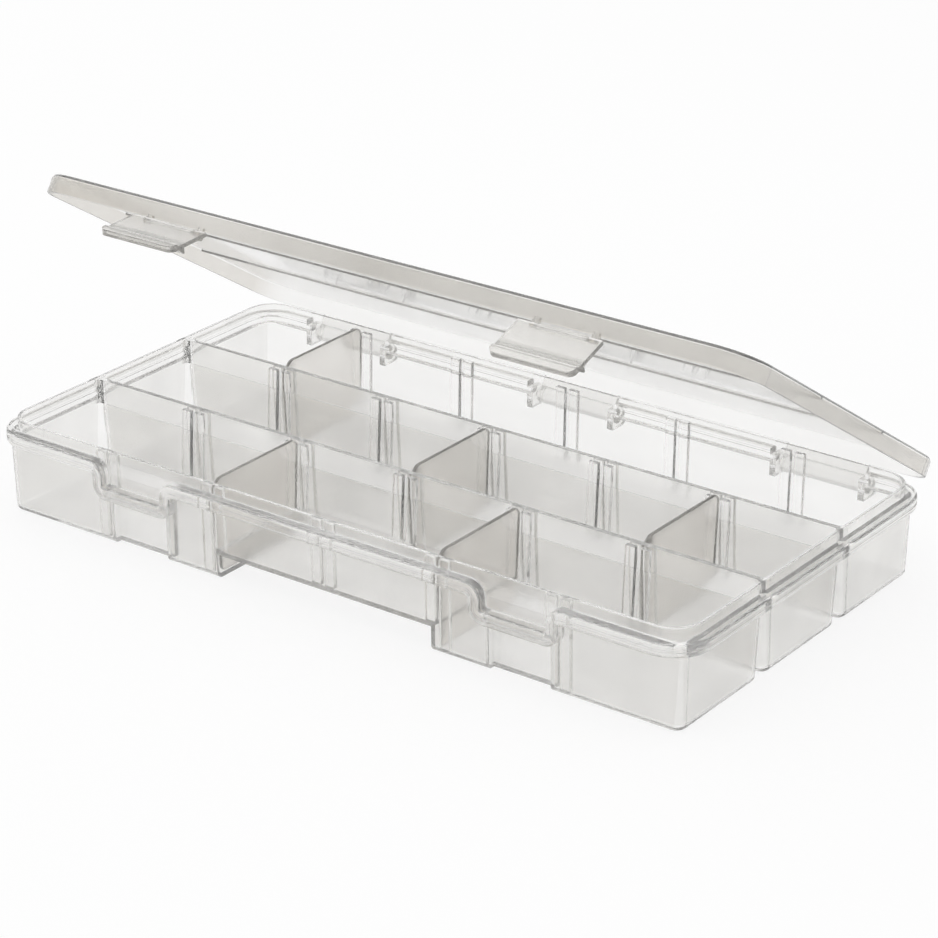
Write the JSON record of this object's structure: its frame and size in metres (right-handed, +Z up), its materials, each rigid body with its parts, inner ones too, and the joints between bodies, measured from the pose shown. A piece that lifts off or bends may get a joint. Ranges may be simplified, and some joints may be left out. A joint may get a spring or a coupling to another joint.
{
  "type": "compartment storage box",
  "caption": "Translucent plastic compartment box: shallow tray in long rows with removable cross dividers, a hinged lid and snap latches along the front.",
  "frame": {"origin": "middle of the tray's underside, under the middle row", "axes": "+X along the box, +Y towards the hinges, +Z up"},
  "size_m": [0.356, 0.1942, 0.1449],
  "materials": {
    "tray_plastic": "smooth translucent natural polypropylene",
    "lid_plastic": "smooth translucent natural polypropylene",
    "latch_plastic": "smooth translucent natural polypropylene",
    "divider_plastic": "frosted translucent polypropylene"
  },
  "bodies": {
    "tray": {"tray": "tray_plastic", "divider_front_left": "divider_plastic", "divider_front_right": "divider_plastic", "divider_middle_left": "divider_plastic", "divider_middle_right": "divider_plastic", "divider_back": "divider_plastic"},
    "lid": {"lid": "lid_plastic"},
    "latch_left": {"latch_left": "latch_plastic"},
    "latch_right": {"latch_right": "latch_plastic"}
  },
  "joints": [
    {"name": "lid_hinge", "type": "hinge", "parent": "tray", "child": "lid", "pos_m": [0, 0.09435, 0.031], "axis": [-1, 0, 0], "range_deg": [-32.6, 147.4]},
    {"name": "latch_left_hinge", "type": "hinge", "parent": "lid", "child": "latch_left", "pos_m": [-0.09783, -0.05934, 0.13582], "axis": [-1, 0, 0], "range_deg": [-54.5, 35.5]},
    {"name": "latch_right_hinge", "type": "hinge", "parent": "lid", "child": "latch_right", "pos_m": [0.09783, -0.05934, 0.13582], "axis": [-1, 0, 0], "range_deg": [-37.5, 52.5]}
  ]
}
